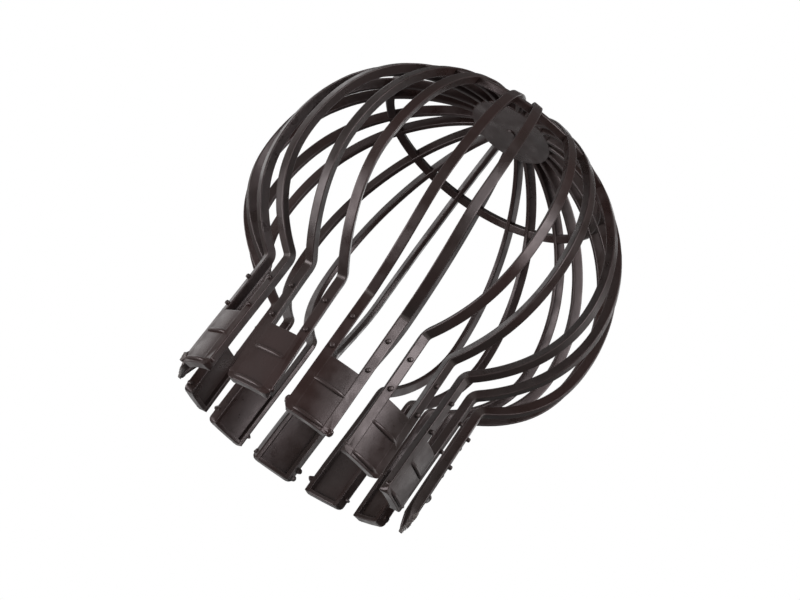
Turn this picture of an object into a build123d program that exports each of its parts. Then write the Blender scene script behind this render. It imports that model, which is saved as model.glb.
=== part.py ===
"""Leaf guard for a round gutter outlet, moulded in one piece of brown plastic.

Twelve springy legs push into the outlet pipe. Each leg carries two ribs, which flare out at
the neck, bulge into a round cage and gather again at a small disc on top. A hoop ties the
ribs below the disc, and a curved plate closes the lower part of each leg.
"""

import os
from math import acos, asin, cos, degrees, sin, sqrt

from build123d import *

# Overall form, in millimetres
collar_diameter = 76.0  # over the outer faces of the legs
balloon_diameter = 121.0  # over the ribs at the widest ring
neck_height = 39.8  # where the ribs flare out of the legs
equator_height = 73.4  # the widest ring
crown_rise = 56.0  # from the widest ring to the pole of the ribs' upper curve

# Ribs: flat outside, tapered towards a narrow inner face
leg_count = 12
rib_spacing = 11.8  # between the centres of the two ribs of a leg
rib_width = 3.3
rib_inner_width = 1.5
rib_depth = 3.0

# Disc on top
disc_diameter = 28.6
disc_rim = 3.6  # height of its edge
disc_dome = 1.1  # rise of its outer face above the edge
disc_edge_break = 0.4
disc_cover = 0.5  # how far its edge stands above the ribs there
rib_root = 2.2  # length of each rib inside the disc
gate_diameter = 3.2
gate_height = 0.35

# Hoop inside the crown
hoop_radius = 39.8  # measured at the ribs' outer faces
hoop_width = 2.8
hoop_cover = 0.5  # depth of rib left outside the hoop
hoop_inset = 0.15  # step between the ribs' inner faces and the hoop

# Plate between the two ribs of a leg
plate_height = 19.0
plate_wall = 1.6
plate_setback = 0.15  # step between the ribs' outer faces and the plate
rim_height = 1.5  # inward rim along the plate's foot
rim_inset = 0.15
corner_radius = 2.0  # lower corners of the leg

# Small raised marks
mark_pitch = 10.0  # between the levels of pips and ridges
lowest_mark = 1.4
pip_diameter = 1.4
pip_height = 1.0
ridge_span = 10.4
ridge_rise = 0.55
ridge_thickness = 0.9
nub_diameter = 2.2  # trimmed bridge ends at the lower corners
nub_height = 2.4
nub_depth = 1.7
nub_reach = 0.7  # how far a nub stands out of the leg's side

# Places that follow from the sizes above
collar_radius = collar_diameter / 2
balloon_radius = balloon_diameter / 2
disc_radius = disc_diameter / 2
rib_offset = rib_spacing / 2
leg_pitch = 360 / leg_count
rib_angle = degrees(asin(rib_offset / collar_radius))  # of a rib's face on the collar


def on_chord(radius):
    """Distance along a rib's plane at which it meets a circle about the centre line."""
    return sqrt(radius**2 - rib_offset**2)


# Lower curve: an ellipse about the widest ring that reaches the leg's face at the neck
leg_face = on_chord(collar_radius)
equator_face = on_chord(balloon_radius)
lower_rise = (equator_height - neck_height) / sqrt(1 - (leg_face / equator_face) ** 2)
flare_start = degrees(acos(leg_face / equator_face))

# Upper curve: an upright plane from the widest ring to an even spacing round the disc
equator_point = Vector(equator_face, rib_offset)
disc_point = Vector(disc_radius, 0).rotate(Axis.Z, leg_pitch / 4)
crown_direction = (equator_point - disc_point).normalized()
crown_reach = equator_point.dot(crown_direction)
crown_foot = equator_point - crown_direction * crown_reach
crown_end = degrees(acos((disc_radius - rib_root) / crown_reach))


def crown_height(radius):
    """Height of the ribs' outer faces above the foot, at a radius inside the crown."""
    return equator_height + crown_rise * sqrt(1 - (radius / balloon_radius) ** 2)


disc_top_edge = crown_height(disc_radius) + disc_cover
disc_floor = disc_top_edge - disc_rim


def rib_profile(place):
    """Sketch a rib's section at a point of its outer face, narrow end inwards."""
    outwards = Vector(1, 0).rotate(Axis.Z, rib_angle)
    with BuildSketch(Plane(origin=place, x_dir=outwards, z_dir=(0, 0, 1))) as profile:
        with BuildLine():
            Polyline(
                (0, rib_width / 2),
                (-rib_depth, rib_inner_width / 2),
                (-rib_depth, -rib_inner_width / 2),
                (0, -rib_width / 2),
                close=True,
            )
        make_face()
    return profile.sketch


# One rib, from the foot of its leg to the disc
leg_plane = Plane(origin=(0, rib_offset, 0), x_dir=(1, 0, 0), z_dir=(0, -1, 0))
crown_normal = crown_direction.cross(Vector(0, 0, 1))
crown_plane = Plane(origin=crown_foot, x_dir=crown_direction, z_dir=crown_normal)

with BuildPart() as rib:
    with BuildLine(leg_plane) as lower_path:
        Line((leg_face, 0), (leg_face, neck_height))
        EllipticalCenterArc(
            (0, equator_height), equator_face, lower_rise, -flare_start, arc_size=flare_start
        )
    sweep(rib_profile(lower_path.line @ 0), path=lower_path.line, transition=Transition.RIGHT)
    with BuildLine(crown_plane) as upper_path:
        EllipticalCenterArc(
            (0, equator_height), crown_reach, crown_rise, 0, arc_size=crown_end
        )
    sweep(rib_profile(upper_path.line @ 0), path=upper_path.line)

# One leg: a pair of ribs, the plate between them with its rim, and the raised marks
plate_face = collar_radius - plate_setback
half_span = rib_angle
mark_heights = [lowest_mark + level * mark_pitch for level in range(4)]


def plate_sector(inner, outer, height):
    """Raise a curved wall between the centre lines of the leg's ribs."""
    with BuildSketch(Plane.XY) as sector:
        with BuildLine():
            CenterArc((0, 0), outer, -half_span, 2 * half_span)
            inner_arc = CenterArc((0, 0), inner, -half_span, 2 * half_span)
            Line(inner_arc @ 0, Vector(outer, 0).rotate(Axis.Z, -half_span))
            Line(inner_arc @ 1, Vector(outer, 0).rotate(Axis.Z, half_span))
        make_face()
    extrude(sector.sketch, amount=height)


with BuildPart() as leg:
    add(rib.part)
    mirror(rib.part, about=Plane.XZ)
    plate_sector(plate_face - plate_wall, plate_face, plate_height)
    plate_sector(collar_radius - rib_depth + rim_inset, plate_face, rim_height)

    foot_edges = leg.edges().group_by(Axis.Z)[0].sort_by(Axis.Y)
    fillet([foot_edges[0], foot_edges[-1]], corner_radius)

    for height in mark_heights[:2]:
        ridge_root = plate_face - plate_wall / 2
        with BuildSketch(Plane.XY.offset(height - ridge_thickness / 2)) as ridge:
            with BuildLine():
                ridge_arc = ThreePointArc(
                    (ridge_root, -ridge_span / 2),
                    (plate_face + ridge_rise, 0),
                    (ridge_root, ridge_span / 2),
                )
                Line(ridge_arc @ 0, ridge_arc @ 1)
            make_face()
        extrude(amount=ridge_thickness)

    for side in (-1, 1):
        pip_direction = Vector(1, 0).rotate(Axis.Z, side * rib_angle)
        for height in mark_heights[2:]:
            pip_foot = pip_direction * (collar_radius - rib_depth / 2) + Vector(0, 0, height)
            with BuildSketch(Plane(origin=pip_foot, z_dir=pip_direction)):
                Circle(pip_diameter / 2)
            extrude(amount=rib_depth / 2 + pip_height)
        nub_centre = rib_offset + rib_width / 2 + nub_reach - nub_diameter / 2
        nub_foot = Vector(leg_face - nub_depth, side * nub_centre, nub_height)
        with BuildSketch(Plane(origin=nub_foot, z_dir=(1, 0, 0))):
            Circle(nub_diameter / 2)
        extrude(amount=nub_depth - plate_setback)

# Hoop: a flat band set square to the ribs' inner faces
hoop_latitude = acos(hoop_radius / balloon_radius)
hoop_normal = Vector(cos(hoop_latitude) / balloon_radius, 0, sin(hoop_latitude) / crown_rise)
hoop_place = Vector(hoop_radius, 0, crown_height(hoop_radius))
hoop_depth = rib_depth - hoop_cover - hoop_inset
with BuildPart() as hoop:
    with BuildSketch(Plane(origin=hoop_place, x_dir=hoop_normal, z_dir=(0, -1, 0))):
        with Locations((-hoop_cover, 0)):
            Rectangle(hoop_depth, hoop_width, align=(Align.MAX, Align.CENTER))
    revolve(axis=Axis.Z)

# Disc: flat inside, gently domed outside, with the mark of the moulding gate
with BuildPart() as disc:
    with BuildSketch(Plane.XZ) as disc_profile:
        with BuildLine():
            Polyline(
                (0, disc_top_edge + disc_dome),
                (0, disc_floor),
                (disc_radius, disc_floor),
                (disc_radius, disc_top_edge),
            )
            TangentArc(
                (0, disc_top_edge + disc_dome),
                (disc_radius, disc_top_edge),
                tangent=(1, 0),
            )
        make_face()
        chamfer(disc_profile.vertices().group_by(Axis.Y)[0].sort_by(Axis.X)[-1], disc_edge_break)
    revolve(axis=Axis.Z)
    with BuildSketch(Plane.XY.offset(disc_floor - gate_height)):
        Circle(gate_diameter / 2)
    extrude(amount=gate_height + disc_rim / 2)

# The whole moulding
with BuildPart() as leaf_guard:
    with PolarLocations(0, leg_count):
        add(leg.part)
    add(hoop.part)
    add(disc.part)

leaf_guard.part.label = "leaf_guard"
os.makedirs("parts", exist_ok=True)
export_step(leaf_guard.part, "parts/leaf_guard.step")
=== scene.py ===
"""Dressed model of a leaf guard for a round gutter outlet, moulded in one piece of brown plastic.

Every shell of the moulding (ribs, plates, ridges, pips, stubs, hoop and disc) is swept, turned or
set out on its own, and then all of them are fused into one mesh that stands for the CAD solid.
"""

import logging
from dataclasses import dataclass, field
from enum import Enum
from math import acos, asin, cos, pi, radians, sin, sqrt, tau

import bmesh
import bpy
import numpy as np
from mathutils import Matrix, Vector


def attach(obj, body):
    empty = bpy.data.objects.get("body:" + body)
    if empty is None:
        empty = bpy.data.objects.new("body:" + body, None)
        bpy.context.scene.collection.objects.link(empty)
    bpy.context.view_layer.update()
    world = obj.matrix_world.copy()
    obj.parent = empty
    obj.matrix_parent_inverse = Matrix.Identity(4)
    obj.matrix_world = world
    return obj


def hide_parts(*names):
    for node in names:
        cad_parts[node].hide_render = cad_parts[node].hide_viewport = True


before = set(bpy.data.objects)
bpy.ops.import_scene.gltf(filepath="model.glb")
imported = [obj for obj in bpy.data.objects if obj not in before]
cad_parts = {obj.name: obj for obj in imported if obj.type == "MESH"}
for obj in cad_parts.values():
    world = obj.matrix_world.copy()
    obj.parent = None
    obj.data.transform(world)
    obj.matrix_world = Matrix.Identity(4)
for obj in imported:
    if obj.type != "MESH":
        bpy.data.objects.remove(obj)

MM = 0.001
NODE = "leaf_guard"
BODY = "root"
RIPPLE_SCALE = 70.0
RUGGED_SCALE = 900.0
Socket = bpy.types.NodeSocket
log = logging.getLogger("leaf_guard")


class Side(Enum):
    """Which of a leg's two sides, as a sign of the way round the centre line."""

    CLOCKWISE = -1
    ANTICLOCKWISE = 1


class Leg(Enum):
    """The twelve legs, as steps round from the leg on -Y, anticlockwise seen from above."""

    FRONT = 0
    FRONT_RIGHT = 1
    RIGHT_FRONT = 2
    RIGHT = 3
    RIGHT_BACK = 4
    BACK_RIGHT = 5
    BACK = 6
    BACK_LEFT = 7
    LEFT_BACK = 8
    LEFT = 9
    LEFT_FRONT = 10
    FRONT_LEFT = 11

    def turn(self, sizes: "GuardSizes") -> float:
        """Give the leg's angle round the centre line, from +X."""
        return self.value * sizes.leg_pitch - pi / 2


@dataclass(frozen=True)
class GuardSizes:
    """Driving sizes of the moulding, in metres, and the places that follow from them."""

    collar_radius: float = 38.0 * MM
    balloon_radius: float = 60.5 * MM
    neck_height: float = 39.8 * MM
    equator_height: float = 73.4 * MM
    crown_rise: float = 56.0 * MM
    leg_count: int = 12
    rib_spacing: float = 11.8 * MM
    rib_width: float = 3.3 * MM
    rib_inner_width: float = 1.5 * MM
    rib_depth: float = 3.0 * MM
    disc_radius: float = 14.3 * MM
    disc_cover: float = 0.5 * MM

    @property
    def rib_offset(self) -> float:
        """Half the spacing of a leg's two ribs."""
        return self.rib_spacing / 2

    @property
    def rib_angle(self) -> float:
        """Turn of a rib's face on the collar, from the middle of its leg."""
        return asin(self.rib_offset / self.collar_radius)

    @property
    def leg_pitch(self) -> float:
        """Angle from one leg to the next."""
        return tau / self.leg_count

    @property
    def leg_face(self) -> float:
        """Distance out to a rib's face on the collar, along the rib's plane."""
        return sqrt(self.collar_radius**2 - self.rib_offset**2)

    @property
    def equator_face(self) -> float:
        """Distance out to a rib's face at the widest ring, along the rib's plane."""
        return sqrt(self.balloon_radius**2 - self.rib_offset**2)

    @property
    def half_leg(self) -> float:
        """Distance from the middle of a leg to its outer side."""
        return self.rib_offset + self.rib_width / 2 * cos(self.rib_angle)

    def crown_height(self, radius: float) -> float:
        """Height of the ribs' outer faces at a radius inside the crown.

        Args:
            radius: distance from the centre line.

        Returns:
            The height above the foot.
        """
        return self.equator_height + self.crown_rise * sqrt(1 - (radius / self.balloon_radius) ** 2)


class Nodes:
    """Adds nodes to one tree, each set and linked in one step."""

    def __init__(self, tree: bpy.types.NodeTree) -> None:
        """Work on a tree that exists."""
        self.tree = tree

    def feed(self, node: bpy.types.Node, inputs: dict) -> bpy.types.Node:
        """Link or set inputs of a node.

        Args:
            node: the node.
            inputs: a value or a socket for each input, by name or number.

        Returns:
            The same node.
        """
        for key, value in inputs.items():
            if isinstance(value, Socket):
                self.tree.links.new(value, node.inputs[key])
            else:
                node.inputs[key].default_value = value
        return node

    def add(self, kind: str, inputs: dict | None = None, **settings: object) -> bpy.types.Node:
        """Add a node, choose its settings, and link or set its inputs.

        Args:
            kind: the node's type.
            inputs: a value or a socket for each input, by name or number.
            settings: the node's own options.

        Returns:
            The new node.
        """
        node = self.tree.nodes.new(kind)
        for option, choice in settings.items():
            setattr(node, option, choice)
        return self.feed(node, inputs or {})

    def math(
        self, operation: str, first: object, second: object = 0.0, **settings: object
    ) -> Socket:
        """Add one step of arithmetic and give its result."""
        step = self.add("ShaderNodeMath", {0: first, 1: second}, operation=operation, **settings)
        return step.outputs[0]


class GeometryNodes(Nodes):
    """Builds one Geometry Nodes tree, with named inputs."""

    def __init__(self, name: str) -> None:
        """Start a tree that takes and gives a geometry.

        Args:
            name: the tree's name.
        """
        super().__init__(bpy.data.node_groups.new(name, "GeometryNodeTree"))
        for way in ("INPUT", "OUTPUT"):
            self.tree.interface.new_socket("Geometry", in_out=way, socket_type="NodeSocketGeometry")
        self.entry = self.add("NodeGroupInput")
        self.exit = self.add("NodeGroupOutput")

    def input(self, name: str, kind: str = "Float") -> Socket:
        """Add a named input and give the socket to link from."""
        self.tree.interface.new_socket(name, in_out="INPUT", socket_type=f"NodeSocket{kind}")
        return self.entry.outputs[name]

    def read(self, name: str, kind: str = "FLOAT") -> Socket:
        """Read a named attribute of the geometry."""
        reader = self.add("GeometryNodeInputNamedAttribute", {"Name": name}, data_type=kind)
        return reader.outputs["Attribute"]

    def scaled(self, vector: Socket, scale: Socket) -> Socket:
        """Multiply a vector by a number."""
        product = self.add("ShaderNodeVectorMath", {0: vector, "Scale": scale}, operation="SCALE")
        return product.outputs[0]

    def finish(self, geometry: Socket, material: Socket) -> bpy.types.NodeTree:
        """End the tree in Realize Instances and Set Material.

        Args:
            geometry: the last geometry.
            material: the material input.

        Returns:
            The finished tree.
        """
        real = self.add("GeometryNodeRealizeInstances", {"Geometry": geometry})
        dress = {"Geometry": real.outputs[0], "Material": material}
        dressed = self.add("GeometryNodeSetMaterial", dress)
        self.tree.links.new(dressed.outputs[0], self.exit.inputs[0])
        return self.tree


@dataclass(frozen=True)
class Ramp:
    """A smooth step between two values, from a low to a high limit of what drives it."""

    low: float
    high: float
    start: float = 0.0
    end: float = 1.0


class ShaderNodes(Nodes):
    """Adds nodes to a material's tree."""

    def noise(
        self,
        scale: float,
        detail: float = 2.0,
        stretch: tuple[float, float, float] = (1.0, 1.0, 1.0),
    ) -> Socket:
        """Spread a noise over the piece.

        Args:
            scale: how many of its cells go into a metre.
            detail: how many finer noises are laid over it.
            stretch: its scale along X, Y and Z.

        Returns:
            The noise's value.
        """
        place = self.add("ShaderNodeTexCoord").outputs["Object"]
        mapping = self.add("ShaderNodeMapping", {"Vector": place, "Scale": stretch})
        inputs = {"Vector": mapping.outputs[0], "Scale": scale, "Detail": detail}
        return self.add("ShaderNodeTexNoise", inputs).outputs[0]

    def ramp(self, source: Socket, ramp: Ramp) -> Socket:
        """Turn a value into a smooth step.

        Args:
            source: the value that drives it.
            ramp: the step's limits and values.

        Returns:
            The step's value.
        """
        step = {"Value": source, "From Min": ramp.low, "From Max": ramp.high}
        step.update({"To Min": ramp.start, "To Max": ramp.end})
        return self.add("ShaderNodeMapRange", step, interpolation_type="SMOOTHSTEP").outputs[0]

    def attribute(self, name: str) -> Socket:
        """Read a named attribute of the mesh."""
        return self.add("ShaderNodeAttribute", attribute_name=name).outputs["Fac"]

    def blend(self, share: Socket, first: object, second: object) -> Socket:
        """Blend two colours, each a value or a socket."""
        mixed = self.add("ShaderNodeMix", {0: share, 6: first, 7: second}, data_type="RGBA")
        return mixed.outputs[2]


def new_material(name: str) -> tuple[bpy.types.Material, ShaderNodes]:
    """Make a material.

    Args:
        name: its name.

    Returns:
        The material and the helper for its nodes.
    """
    material = bpy.data.materials.new(name)
    material.use_nodes = True
    return material, ShaderNodes(material.node_tree)


def new_object(name: str, data: bpy.types.ID) -> bpy.types.Object:
    """Put a mesh, a lamp or a camera into the scene.

    Args:
        name: the object's name.
        data: what it shows.

    Returns:
        The object, at the origin.
    """
    thing = bpy.data.objects.new(name, data)
    bpy.context.scene.collection.objects.link(thing)
    return thing


def run_tree(
    name: str, tree: bpy.types.NodeTree, start: bpy.types.Mesh, values: dict
) -> bpy.types.Object:
    """Run a tree once on a starting mesh and keep the result as a plain mesh object.

    Args:
        name: the new object's name.
        tree: the Geometry Nodes tree.
        start: the mesh that goes in.
        values: the value of each named input.

    Returns:
        An object with no modifier, holding the result. Helper objects among the values are gone.
    """
    carrier = new_object(name, start)
    modifier = carrier.modifiers.new(name, "NODES")
    modifier.node_group = tree
    for item in tree.interface.items_tree:
        if item.in_out == "INPUT" and item.name in values:
            modifier[item.identifier] = values[item.name]
    evaluated = carrier.evaluated_get(bpy.context.evaluated_depsgraph_get())
    result = bpy.data.meshes.new_from_object(evaluated)
    result.name = name
    carrier.modifiers.remove(modifier)
    carrier.data = result
    for helper in [value for value in values.values() if isinstance(value, bpy.types.Object)]:
        bpy.data.objects.remove(helper)
    return carrier


def line_mesh(name: str, runs: list[dict[str, np.ndarray]], closed: bool = False) -> bpy.types.Mesh:
    """Make a mesh of edges along one or more runs of points.

    Args:
        name: the mesh's name.
        runs: for each run its points under "place", and further values of each point by name.
        closed: whether each run joins up with its own start.

    Returns:
        The mesh, with the further values as attributes.
    """
    places: list = []
    edges: list[tuple[int, int]] = []
    for run in runs:
        first = len(places)
        count = len(run["place"])
        places.extend(run["place"])
        edges.extend((first + i, first + i + 1) for i in range(count - 1))
        if closed:
            edges.append((first + count - 1, first))
    mesh = bpy.data.meshes.new(name)
    mesh.from_pydata([tuple(place) for place in places], edges, [])
    for key in runs[0]:
        if key == "place":
            continue
        values = np.concatenate([run[key] for run in runs])
        kind, field_name = ("FLOAT_VECTOR", "vector") if values.ndim == 2 else ("FLOAT", "value")
        mesh.attributes.new(key, kind, "POINT").data.foreach_set(field_name, values.ravel())
    return mesh


@dataclass(frozen=True)
class Section:
    """A closed outline with rounded corners, to sweep along a path."""

    corners: tuple[tuple[float, float], ...]
    rounds: tuple[float, ...]
    arc_steps: int = 3
    support: float = 0.25 * MM

    def outline(self) -> tuple[list[tuple[float, float, float]], list[float]]:
        """Work out the outline's points and how far each lies on a rounded corner, lightened for
        wear and a painted highlight.

        Returns:
            The points, and for each 1 on a corner's curve or 0 on a flat.
        """
        points: list[tuple[float, float, float]] = []
        worn: list[float] = []
        count = len(self.corners)
        for i, corner in enumerate(self.corners):
            here = Vector(corner)
            back = (Vector(self.corners[i - 1]) - here).normalized()
            ahead = (Vector(self.corners[(i + 1) % count]) - here).normalized()
            half = back.angle(ahead) / 2
            reach = self.rounds[i] / np.tan(half)
            middle = here + (back + ahead).normalized() * (self.rounds[i] / sin(half))
            start = here + back * reach
            end = here + ahead * reach
            points.append((*(start + back * self.support), 0.0))
            worn.append(0.0)
            # Points on a corner's curve are marked to be lightened, partly for wear and partly as a
            # painted highlight
            for step in range(self.arc_steps + 1):
                spoke = (start - middle).slerp(end - middle, step / self.arc_steps).normalized()
                points.append((*(middle + spoke * self.rounds[i]), 0.0))
                worn.append(1.0)
            points.append((*(end + ahead * self.support), 0.0))
            worn.append(0.0)
        return points, worn

    def curve(self, name: str) -> bpy.types.Object:
        """Make the outline an object of closed edges."""
        points, worn = self.outline()
        run = {"place": np.array(points), "worn": np.array(worn)}
        return new_object(name, line_mesh(name, [run], closed=True))


def sweep_tree() -> bpy.types.NodeTree:
    """Build the tree that sweeps a section along the paths of one leg and repeats it for every leg.

    Returns:
        A tree with inputs Section, Count, Mirror, Corner, Half Leg, Ripple, Seed and Material. The
        paths carry the attributes face (the way that the section's +X points) and girth, and any
        others go through to the swept mesh.
    """
    nodes = GeometryNodes("sweep_round_the_legs")
    section = nodes.input("Section", "Object")
    count = nodes.input("Count", "Int")
    mirror = nodes.input("Mirror", "Bool")
    corner, half_leg = nodes.input("Corner"), nodes.input("Half Leg")
    ripple, seed = nodes.input("Ripple"), nodes.input("Seed")
    material = nodes.input("Material", "Material")

    paths = nodes.add("GeometryNodeMeshToCurve", {"Mesh": nodes.entry.outputs[0]})
    aimed = nodes.add(
        "GeometryNodeSetCurveNormal",
        {"Curve": paths.outputs[0], "Normal": nodes.read("face", "FLOAT_VECTOR")},
        mode="FREE",
    )
    outline = nodes.add("GeometryNodeObjectInfo", {"Object": section})
    profile = nodes.add("GeometryNodeMeshToCurve", {"Mesh": outline.outputs["Geometry"]})
    swept = nodes.add(
        "GeometryNodeCurveToMesh",
        {
            "Curve": aimed.outputs[0],
            "Profile Curve": profile.outputs[0],
            "Scale": nodes.read("girth"),
            "Fill Caps": True,
        },
    )

    place = nodes.add("GeometryNodeInputPosition").outputs[0]
    split = nodes.add("ShaderNodeSeparateXYZ", {0: place})
    low = nodes.math("MINIMUM", split.outputs["Z"], corner)
    drop = nodes.math("SUBTRACT", corner, low)
    corner_square = nodes.math("MULTIPLY", corner, corner)
    square = nodes.math("SUBTRACT", corner_square, nodes.math("MULTIPLY", drop, drop))
    inset = nodes.math("SUBTRACT", corner, nodes.math("SQRT", nodes.math("MAXIMUM", square, 0.0)))
    limit = nodes.math("MINIMUM", split.outputs["Y"], nodes.math("SUBTRACT", half_leg, inset))
    rounded_place = nodes.add(
        "ShaderNodeCombineXYZ", {"X": split.outputs["X"], "Y": limit, "Z": split.outputs["Z"]}
    )
    rounded = nodes.add(
        "GeometryNodeSetPosition",
        {
            "Geometry": swept.outputs[0],
            "Selection": nodes.math("GREATER_THAN", corner, 0.0),
            "Position": rounded_place.outputs[0],
        },
    )

    reflected = nodes.add(
        "GeometryNodeTransform", {"Geometry": rounded.outputs[0], "Scale": (1.0, -1.0, 1.0)}
    )
    mirrored = nodes.add("GeometryNodeFlipFaces", {"Mesh": reflected.outputs[0]})
    handed = nodes.add(
        "GeometryNodeSwitch",
        {"Switch": mirror, "False": rounded.outputs[0], "True": mirrored.outputs[0]},
        input_type="GEOMETRY",
    )
    spots = nodes.add("GeometryNodePoints", {"Count": count})
    index = nodes.add("GeometryNodeInputIndex").outputs[0]
    step = nodes.math("DIVIDE", tau, count)
    turn = nodes.add("ShaderNodeCombineXYZ", {"Z": nodes.math("MULTIPLY", index, step)})
    ring = nodes.add(
        "GeometryNodeInstanceOnPoints",
        {"Points": spots.outputs[0], "Instance": handed.outputs[0], "Rotation": turn.outputs[0]},
    )
    real = nodes.add("GeometryNodeRealizeInstances", {"Geometry": ring.outputs[0]})

    noise = nodes.add(
        "ShaderNodeTexNoise",
        {"Vector": place, "W": seed, "Scale": RIPPLE_SCALE, "Detail": 1.0},
        noise_dimensions="4D",
    )
    depth = nodes.math("MULTIPLY", noise.outputs[0], nodes.math("MULTIPLY", ripple, -1.0))
    offset = nodes.scaled(nodes.add("GeometryNodeInputNormal").outputs[0], depth)
    rippled = nodes.add("GeometryNodeSetPosition", {"Geometry": real.outputs[0], "Offset": offset})
    return nodes.finish(rippled.outputs[0], material)


def scatter_tree() -> bpy.types.NodeTree:
    """Build the tree that sets a small raised mark on every given point.

    Returns:
        A tree with inputs Mark, Spread, Ruggedness, Seed and Material. The points carry the
        attributes aim (the way that the mark's +X points) and stretch (its size along X, Y and Z).
    """
    nodes = GeometryNodes("set_out_marks")
    mark = nodes.input("Mark", "Object")
    spread, ruggedness = nodes.input("Spread"), nodes.input("Ruggedness")
    seed = nodes.input("Seed", "Int")
    material = nodes.input("Material", "Material")

    shape = nodes.add("GeometryNodeObjectInfo", {"Object": mark})
    aim = nodes.add(
        "FunctionNodeAxesToRotation",
        {"Primary Axis": nodes.read("aim", "FLOAT_VECTOR"), "Secondary Axis": (0.0, 0.0, 1.0)},
        primary_axis="X",
        secondary_axis="Z",
    )
    small = nodes.math("SUBTRACT", 1.0, spread)
    large = nodes.math("ADD", 1.0, spread)
    # The random node keeps one output for each kind of value, and its second one is the number
    limits = {2: small, 3: large, "Seed": seed}
    chance = nodes.add("FunctionNodeRandomValue", limits, data_type="FLOAT").outputs[1]
    marks = nodes.add(
        "GeometryNodeInstanceOnPoints",
        {
            "Points": nodes.entry.outputs[0],
            "Instance": shape.outputs["Geometry"],
            "Rotation": aim.outputs[0],
            "Scale": nodes.scaled(nodes.read("stretch", "FLOAT_VECTOR"), chance),
        },
    )
    real = nodes.add("GeometryNodeRealizeInstances", {"Geometry": marks.outputs[0]})
    place = nodes.add("GeometryNodeInputPosition").outputs[0]
    noise = nodes.add("ShaderNodeTexNoise", {"Vector": place, "Scale": RUGGED_SCALE, "Detail": 2.0})
    middle = {0: noise.outputs["Color"], 1: (0.5, 0.5, 0.5)}
    centred = nodes.add("ShaderNodeVectorMath", middle, operation="SUBTRACT")
    offset = nodes.scaled(centred.outputs[0], ruggedness)
    rugged = nodes.add("GeometryNodeSetPosition", {"Geometry": real.outputs[0], "Offset": offset})
    return nodes.finish(rugged.outputs[0], material)


@dataclass
class Workshop:
    """Makes the shells of the moulding, all in one plastic."""

    sizes: GuardSizes
    plastic: bpy.types.Material
    sweeping: bpy.types.NodeTree = field(default_factory=sweep_tree)
    scattering: bpy.types.NodeTree = field(default_factory=scatter_tree)

    def sweep(
        self,
        name: str,
        section: Section,
        runs: list[dict[str, np.ndarray]],
        ripple: float = 0.0,
        seed: float = 0.0,
        corner: float = 0.0,
        mirror: bool = False,
        closed: bool = False,
    ) -> bpy.types.Object:
        """Sweep a section along the paths of one leg, for every leg.

        Args:
            name: the shell's name.
            section: the outline to sweep.
            runs: the paths, with the attributes that the tree reads.
            ripple: depth of the faint ripples.
            seed: what tells its ripples from those of other shells.
            corner: radius of the lower corner at the leg's side.
            mirror: whether the paths are for the leg's other side.
            closed: whether the path is a ring about the centre line, and isn't repeated.

        Returns:
            One object with all the closed shells.
        """
        values = {
            "Section": section.curve(f"{name}_section"),
            "Count": 1 if closed else self.sizes.leg_count,
            "Mirror": mirror,
            "Corner": corner,
            "Half Leg": self.sizes.half_leg,
            "Ripple": ripple,
            "Seed": seed,
            "Material": self.plastic,
        }
        return run_tree(name, self.sweeping, line_mesh(f"{name}_path", runs, closed), values)

    def scatter(
        self,
        name: str,
        mark: bpy.types.Object,
        marks: dict[str, list],
        spread: float,
        ruggedness: float,
        seed: int,
    ) -> bpy.types.Object:
        """Set out copies of a small mark.

        Args:
            name: the shell's name.
            mark: the mark, used up here.
            marks: the place, aim and stretch of each copy.
            spread: how much the copies differ in size.
            ruggedness: how far their faces are roughened.
            seed: the seed of their sizes.

        Returns:
            One object with all the copies.
        """
        run = {key: np.array(values) for key, values in marks.items()}
        values = {
            "Mark": mark,
            "Spread": spread,
            "Ruggedness": ruggedness,
            "Seed": seed,
            "Material": self.plastic,
        }
        return run_tree(name, self.scattering, line_mesh(f"{name}_points", [run]), values)


def on_rings(radii: np.ndarray | float, angles: np.ndarray, height: float) -> np.ndarray:
    """Give points about the centre line, from their radii, angles and height."""
    heights = np.full_like(angles, height)
    return np.stack([radii * np.cos(angles), radii * np.sin(angles), heights], axis=1)


def turned(
    out: np.ndarray | float, aside: np.ndarray | float, turn: np.ndarray | float
) -> tuple[np.ndarray, np.ndarray]:
    """Turn plane coordinates anticlockwise about the origin."""
    return out * np.cos(turn) - aside * np.sin(turn), out * np.sin(turn) + aside * np.cos(turn)


def eased(share: np.ndarray) -> np.ndarray:
    """Ease a share from 0 to 1 in and out."""
    return share**2 * (3 - 2 * share)


def lathe(
    name: str, outline: list[tuple[float, float]], steps: int, worn: list[float]
) -> bpy.types.Mesh:
    """Turn an outline about the Z axis into a closed mesh.

    Args:
        name: the mesh's name.
        outline: radius and height of each point, from the bottom on the axis to the top on it.
        steps: number of steps round.
        worn: how far each point is lightened for wear and a painted highlight, from 0 to 1.

    Returns:
        The closed mesh, facing outwards.
    """
    places: list[tuple[float, float, float]] = [(0.0, 0.0, outline[0][1])]
    wear: list[float] = [worn[0]]
    for (radius, height), value in zip(outline[1:-1], worn[1:-1]):
        for step in range(steps):
            angle = tau * step / steps
            places.append((radius * cos(angle), radius * sin(angle), height))
            wear.append(value)
    places.append((0.0, 0.0, outline[-1][1]))
    wear.append(worn[-1])
    faces: list[tuple[int, ...]] = []
    rings = len(outline) - 2
    for step in range(steps):
        after = (step + 1) % steps
        faces.append((0, 1 + after, 1 + step))
        for ring in range(rings - 1):
            low = 1 + ring * steps
            faces.append((low + step, low + after, low + steps + after, low + steps + step))
        top = 1 + (rings - 1) * steps
        faces.append((top + step, top + after, len(places) - 1))
    mesh = bpy.data.meshes.new(name)
    mesh.from_pydata(places, [], faces)
    mesh.attributes.new("worn", "FLOAT", "POINT").data.foreach_set("value", wear)
    return mesh


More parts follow.
